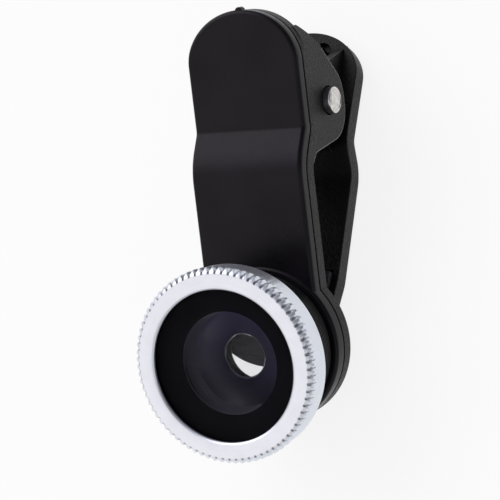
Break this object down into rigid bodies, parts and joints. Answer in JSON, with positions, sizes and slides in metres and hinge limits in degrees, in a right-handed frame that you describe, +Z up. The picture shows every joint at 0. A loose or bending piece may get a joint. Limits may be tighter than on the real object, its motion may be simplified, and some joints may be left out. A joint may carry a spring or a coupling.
{
  "type": "clip-on phone lens",
  "caption": "Wide-angle lens in a knurled silver ring, screwed onto a short macro lens in the jaw of a black two-lever spring clip for a phone.",
  "frame": {"origin": "middle of the bounding box at the floor, with the clip lying on its back on the rear lever", "axes": "+X across the clip, +Y from the lens towards the handles, +Z up; the lens faces up and towards -Y"},
  "size_m": [0.0266, 0.0634, 0.0255],
  "materials": {
    "satin_black": "satin black moulded plastic",
    "grained_black": "fine-grained matt black moulded plastic",
    "pad_rubber": "matt black soft pad",
    "steel": "polished steel",
    "anodised_black": "black anodised aluminium",
    "silver": "satin silver anodised aluminium",
    "glass": "polished and coated optical glass"
  },
  "bodies": {
    "rear_lever": {"rear_lever": "grained_black", "rear_pad": "pad_rubber", "pivot_pin": "steel", "torsion_spring": "steel"},
    "front_lever": {"front_frame": "grained_black", "front_cover": "satin_black", "front_pad": "pad_rubber"},
    "macro_slide": {"macro_lens": "glass"},
    "macro_turn": {"macro_barrel": "anodised_black", "macro_lens_ring": "anodised_black"},
    "wide_slide": {"second_lens": "glass"},
    "wide_turn": {"front_barrel": "silver", "front_lens": "glass", "lens_cell": "anodised_black", "second_lens_ring": "anodised_black"}
  },
  "joints": [
    {"name": "clip_pivot", "type": "hinge", "parent": "rear_lever", "child": "front_lever", "pos_m": [0, 0.01893, 0.01134], "axis": [-1, 0, 0], "range_deg": [0, 40], "stiffness_Nm_per_rad": 0.15, "springref_deg": -1.72, "deforming": ["torsion_spring"]},
    {"name": "macro_unscrew_slide", "type": "slide", "parent": "front_lever", "child": "macro_slide", "axis": [0, -0.3985, 0.9172], "range_m": [0, 0.00375]},
    {"name": "macro_unscrew_turn", "type": "hinge", "parent": "macro_slide", "child": "macro_turn", "pos_m": [0, -0.01972, 0.0205], "axis": [0, -0.3985, 0.9172], "range_deg": [0, 1800]},
    {"name": "wide_unscrew_slide", "type": "slide", "parent": "macro_turn", "child": "wide_slide", "axis": [0, -0.3985, 0.9172], "range_m": [0, 0.003]},
    {"name": "wide_unscrew_turn", "type": "hinge", "parent": "wide_slide", "child": "wide_turn", "pos_m": [0, -0.01972, 0.0205], "axis": [0, -0.3985, 0.9172], "range_deg": [0, 1440]}
  ],
  "couplings": [
    {"joint": "macro_unscrew_slide", "follows": "macro_unscrew_turn", "m_per_rad": 0.00011937},
    {"joint": "wide_unscrew_slide", "follows": "wide_unscrew_turn", "m_per_rad": 0.00011937}
  ]
}
